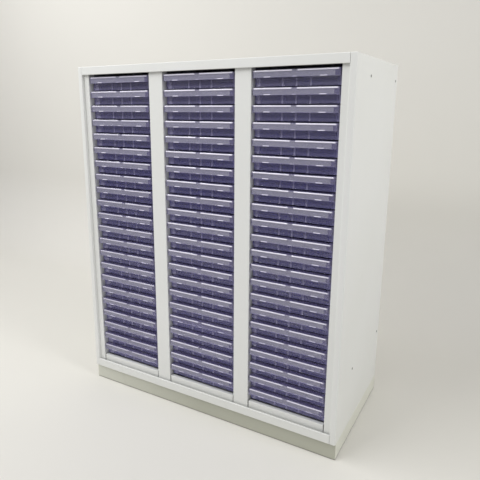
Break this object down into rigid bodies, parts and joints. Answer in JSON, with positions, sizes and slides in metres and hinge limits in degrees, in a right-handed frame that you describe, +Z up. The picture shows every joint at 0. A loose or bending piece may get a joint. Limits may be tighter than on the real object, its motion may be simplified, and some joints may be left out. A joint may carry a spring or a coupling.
{
  "type": "drawer cabinet",
  "caption": "Steel cabinet with columns of shallow translucent plastic drawers that slide out on rails for paper and small parts.",
  "frame": {"origin": "on the floor, under the middle of the cabinet", "axes": "+X to the right as seen from the front, the drawers face -Y, +Z up"},
  "size_m": [0.9206, 0.45, 1.114],
  "materials": {
    "casing_paint": "satin",
    "base_paint": "satin",
    "zinc_steel": "zinc plated",
    "screw_steel": "satin",
    "smoke_plastic": "translucent gloss"
  },
  "bodies": {
    "cabinet": {"top_panel": "casing_paint", "left_side_panel": "casing_paint", "right_side_panel": "casing_paint", "back_panel": "casing_paint", "bottom_panel": "casing_paint", "base_frame": "base_paint", "left_post": "casing_paint", "right_post": "casing_paint", "middle_posts": "casing_paint", "guide_walls": "zinc_steel", "bottom_fillers": "casing_paint", "side_screws": "screw_steel", "left_rails": "zinc_steel", "middle_rails": "zinc_steel", "right_rails": "zinc_steel"},
    "left_drawer_01_body": {"left_drawer_01": "smoke_plastic"},
    "left_drawer_02_body": {"left_drawer_02": "smoke_plastic"},
    "left_drawer_03_body": {"left_drawer_03": "smoke_plastic"},
    "left_drawer_04_body": {"left_drawer_04": "smoke_plastic"},
    "left_drawer_05_body": {"left_drawer_05": "smoke_plastic"},
    "left_drawer_06_body": {"left_drawer_06": "smoke_plastic"},
    "left_drawer_07_body": {"left_drawer_07": "smoke_plastic"},
    "left_drawer_08_body": {"left_drawer_08": "smoke_plastic"},
    "left_drawer_09_body": {"left_drawer_09": "smoke_plastic"},
    "left_drawer_10_body": {"left_drawer_10": "smoke_plastic"},
    "left_drawer_11_body": {"left_drawer_11": "smoke_plastic"},
    "left_drawer_12_body": {"left_drawer_12": "smoke_plastic"},
    "left_drawer_13_body": {"left_drawer_13": "smoke_plastic"},
    "left_drawer_14_body": {"left_drawer_14": "smoke_plastic"},
    "middle_drawer_01_body": {"middle_drawer_01": "smoke_plastic"},
    "middle_drawer_02_body": {"middle_drawer_02": "smoke_plastic"},
    "middle_drawer_03_body": {"middle_drawer_03": "smoke_plastic"},
    "middle_drawer_04_body": {"middle_drawer_04": "smoke_plastic"},
    "middle_drawer_05_body": {"middle_drawer_05": "smoke_plastic"},
    "middle_drawer_06_body": {"middle_drawer_06": "smoke_plastic"},
    "middle_drawer_07_body": {"middle_drawer_07": "smoke_plastic"},
    "middle_drawer_08_body": {"middle_drawer_08": "smoke_plastic"},
    "middle_drawer_09_body": {"middle_drawer_09": "smoke_plastic"},
    "middle_drawer_10_body": {"middle_drawer_10": "smoke_plastic"},
    "middle_drawer_11_body": {"middle_drawer_11": "smoke_plastic"},
    "middle_drawer_12_body": {"middle_drawer_12": "smoke_plastic"},
    "middle_drawer_13_body": {"middle_drawer_13": "smoke_plastic"},
    "middle_drawer_14_body": {"middle_drawer_14": "smoke_plastic"},
    "right_drawer_01_body": {"right_drawer_01": "smoke_plastic"},
    "right_drawer_02_body": {"right_drawer_02": "smoke_plastic"},
    "right_drawer_03_body": {"right_drawer_03": "smoke_plastic"},
    "right_drawer_04_body": {"right_drawer_04": "smoke_plastic"},
    "right_drawer_05_body": {"right_drawer_05": "smoke_plastic"},
    "right_drawer_06_body": {"right_drawer_06": "smoke_plastic"},
    "right_drawer_07_body": {"right_drawer_07": "smoke_plastic"},
    "right_drawer_08_body": {"right_drawer_08": "smoke_plastic"},
    "right_drawer_09_body": {"right_drawer_09": "smoke_plastic"},
    "right_drawer_10_body": {"right_drawer_10": "smoke_plastic"},
    "right_drawer_11_body": {"right_drawer_11": "smoke_plastic"},
    "right_drawer_12_body": {"right_drawer_12": "smoke_plastic"},
    "right_drawer_13_body": {"right_drawer_13": "smoke_plastic"},
    "right_drawer_14_body": {"right_drawer_14": "smoke_plastic"},
    "left_lower_drawers_body": {"left_lower_drawers": "smoke_plastic"},
    "middle_lower_drawers_body": {"middle_lower_drawers": "smoke_plastic"},
    "right_lower_drawers_body": {"right_lower_drawers": "smoke_plastic"}
  },
  "joints": [
    {"name": "left_drawer_01_slide", "type": "slide", "parent": "cabinet", "child": "left_drawer_01_body", "axis": [0, -1, 0], "range_m": [0, 0.32]},
    {"name": "left_drawer_02_slide", "type": "slide", "parent": "cabinet", "child": "left_drawer_02_body", "axis": [0, -1, 0], "range_m": [0, 0.32]},
    {"name": "left_drawer_03_slide", "type": "slide", "parent": "cabinet", "child": "left_drawer_03_body", "axis": [0, -1, 0], "range_m": [0, 0.32]},
    {"name": "left_drawer_04_slide", "type": "slide", "parent": "cabinet", "child": "left_drawer_04_body", "axis": [0, -1, 0], "range_m": [0, 0.32]},
    {"name": "left_drawer_05_slide", "type": "slide", "parent": "cabinet", "child": "left_drawer_05_body", "axis": [0, -1, 0], "range_m": [0, 0.32]},
    {"name": "left_drawer_06_slide", "type": "slide", "parent": "cabinet", "child": "left_drawer_06_body", "axis": [0, -1, 0], "range_m": [0, 0.32]},
    {"name": "left_drawer_07_slide", "type": "slide", "parent": "cabinet", "child": "left_drawer_07_body", "axis": [0, -1, 0], "range_m": [0, 0.32]},
    {"name": "left_drawer_08_slide", "type": "slide", "parent": "cabinet", "child": "left_drawer_08_body", "axis": [0, -1, 0], "range_m": [0, 0.32]},
    {"name": "left_drawer_09_slide", "type": "slide", "parent": "cabinet", "child": "left_drawer_09_body", "axis": [0, -1, 0], "range_m": [0, 0.32]},
    {"name": "left_drawer_10_slide", "type": "slide", "parent": "cabinet", "child": "left_drawer_10_body", "axis": [0, -1, 0], "range_m": [0, 0.32]},
    {"name": "left_drawer_11_slide", "type": "slide", "parent": "cabinet", "child": "left_drawer_11_body", "axis": [0, -1, 0], "range_m": [0, 0.32]},
    {"name": "left_drawer_12_slide", "type": "slide", "parent": "cabinet", "child": "left_drawer_12_body", "axis": [0, -1, 0], "range_m": [0, 0.32]},
    {"name": "left_drawer_13_slide", "type": "slide", "parent": "cabinet", "child": "left_drawer_13_body", "axis": [0, -1, 0], "range_m": [0, 0.32]},
    {"name": "left_drawer_14_slide", "type": "slide", "parent": "cabinet", "child": "left_drawer_14_body", "axis": [0, -1, 0], "range_m": [0, 0.32]},
    {"name": "middle_drawer_01_slide", "type": "slide", "parent": "cabinet", "child": "middle_drawer_01_body", "axis": [0, -1, 0], "range_m": [0, 0.32]},
    {"name": "middle_drawer_02_slide", "type": "slide", "parent": "cabinet", "child": "middle_drawer_02_body", "axis": [0, -1, 0], "range_m": [0, 0.32]},
    {"name": "middle_drawer_03_slide", "type": "slide", "parent": "cabinet", "child": "middle_drawer_03_body", "axis": [0, -1, 0], "range_m": [0, 0.32]},
    {"name": "middle_drawer_04_slide", "type": "slide", "parent": "cabinet", "child": "middle_drawer_04_body", "axis": [0, -1, 0], "range_m": [0, 0.32]},
    {"name": "middle_drawer_05_slide", "type": "slide", "parent": "cabinet", "child": "middle_drawer_05_body", "axis": [0, -1, 0], "range_m": [0, 0.32]},
    {"name": "middle_drawer_06_slide", "type": "slide", "parent": "cabinet", "child": "middle_drawer_06_body", "axis": [0, -1, 0], "range_m": [0, 0.32]},
    {"name": "middle_drawer_07_slide", "type": "slide", "parent": "cabinet", "child": "middle_drawer_07_body", "axis": [0, -1, 0], "range_m": [0, 0.32]},
    {"name": "middle_drawer_08_slide", "type": "slide", "parent": "cabinet", "child": "middle_drawer_08_body", "axis": [0, -1, 0], "range_m": [0, 0.32]},
    {"name": "middle_drawer_09_slide", "type": "slide", "parent": "cabinet", "child": "middle_drawer_09_body", "axis": [0, -1, 0], "range_m": [0, 0.32]},
    {"name": "middle_drawer_10_slide", "type": "slide", "parent": "cabinet", "child": "middle_drawer_10_body", "axis": [0, -1, 0], "range_m": [0, 0.32]},
    {"name": "middle_drawer_11_slide", "type": "slide", "parent": "cabinet", "child": "middle_drawer_11_body", "axis": [0, -1, 0], "range_m": [0, 0.32]},
    {"name": "middle_drawer_12_slide", "type": "slide", "parent": "cabinet", "child": "middle_drawer_12_body", "axis": [0, -1, 0], "range_m": [0, 0.32]},
    {"name": "middle_drawer_13_slide", "type": "slide", "parent": "cabinet", "child": "middle_drawer_13_body", "axis": [0, -1, 0], "range_m": [0, 0.32]},
    {"name": "middle_drawer_14_slide", "type": "slide", "parent": "cabinet", "child": "middle_drawer_14_body", "axis": [0, -1, 0], "range_m": [0, 0.32]},
    {"name": "right_drawer_01_slide", "type": "slide", "parent": "cabinet", "child": "right_drawer_01_body", "axis": [0, -1, 0], "range_m": [0, 0.32]},
    {"name": "right_drawer_02_slide", "type": "slide", "parent": "cabinet", "child": "right_drawer_02_body", "axis": [0, -1, 0], "range_m": [0, 0.32]},
    {"name": "right_drawer_03_slide", "type": "slide", "parent": "cabinet", "child": "right_drawer_03_body", "axis": [0, -1, 0], "range_m": [0, 0.32]},
    {"name": "right_drawer_04_slide", "type": "slide", "parent": "cabinet", "child": "right_drawer_04_body", "axis": [0, -1, 0], "range_m": [0, 0.32]},
    {"name": "right_drawer_05_slide", "type": "slide", "parent": "cabinet", "child": "right_drawer_05_body", "axis": [0, -1, 0], "range_m": [0, 0.32]},
    {"name": "right_drawer_06_slide", "type": "slide", "parent": "cabinet", "child": "right_drawer_06_body", "axis": [0, -1, 0], "range_m": [0, 0.32]},
    {"name": "right_drawer_07_slide", "type": "slide", "parent": "cabinet", "child": "right_drawer_07_body", "axis": [0, -1, 0], "range_m": [0, 0.32]},
    {"name": "right_drawer_08_slide", "type": "slide", "parent": "cabinet", "child": "right_drawer_08_body", "axis": [0, -1, 0], "range_m": [0, 0.32]},
    {"name": "right_drawer_09_slide", "type": "slide", "parent": "cabinet", "child": "right_drawer_09_body", "axis": [0, -1, 0], "range_m": [0, 0.32]},
    {"name": "right_drawer_10_slide", "type": "slide", "parent": "cabinet", "child": "right_drawer_10_body", "axis": [0, -1, 0], "range_m": [0, 0.32]},
    {"name": "right_drawer_11_slide", "type": "slide", "parent": "cabinet", "child": "right_drawer_11_body", "axis": [0, -1, 0], "range_m": [0, 0.32]},
    {"name": "right_drawer_12_slide", "type": "slide", "parent": "cabinet", "child": "right_drawer_12_body", "axis": [0, -1, 0], "range_m": [0, 0.32]},
    {"name": "right_drawer_13_slide", "type": "slide", "parent": "cabinet", "child": "right_drawer_13_body", "axis": [0, -1, 0], "range_m": [0, 0.32]},
    {"name": "right_drawer_14_slide", "type": "slide", "parent": "cabinet", "child": "right_drawer_14_body", "axis": [0, -1, 0], "range_m": [0, 0.32]},
    {"name": "left_lower_drawers_slide", "type": "slide", "parent": "cabinet", "child": "left_lower_drawers_body", "axis": [0, -1, 0], "range_m": [0, 0.32]},
    {"name": "middle_lower_drawers_slide", "type": "slide", "parent": "cabinet", "child": "middle_lower_drawers_body", "axis": [0, -1, 0], "range_m": [0, 0.32]},
    {"name": "right_lower_drawers_slide", "type": "slide", "parent": "cabinet", "child": "right_lower_drawers_body", "axis": [0, -1, 0], "range_m": [0, 0.32]}
  ]
}
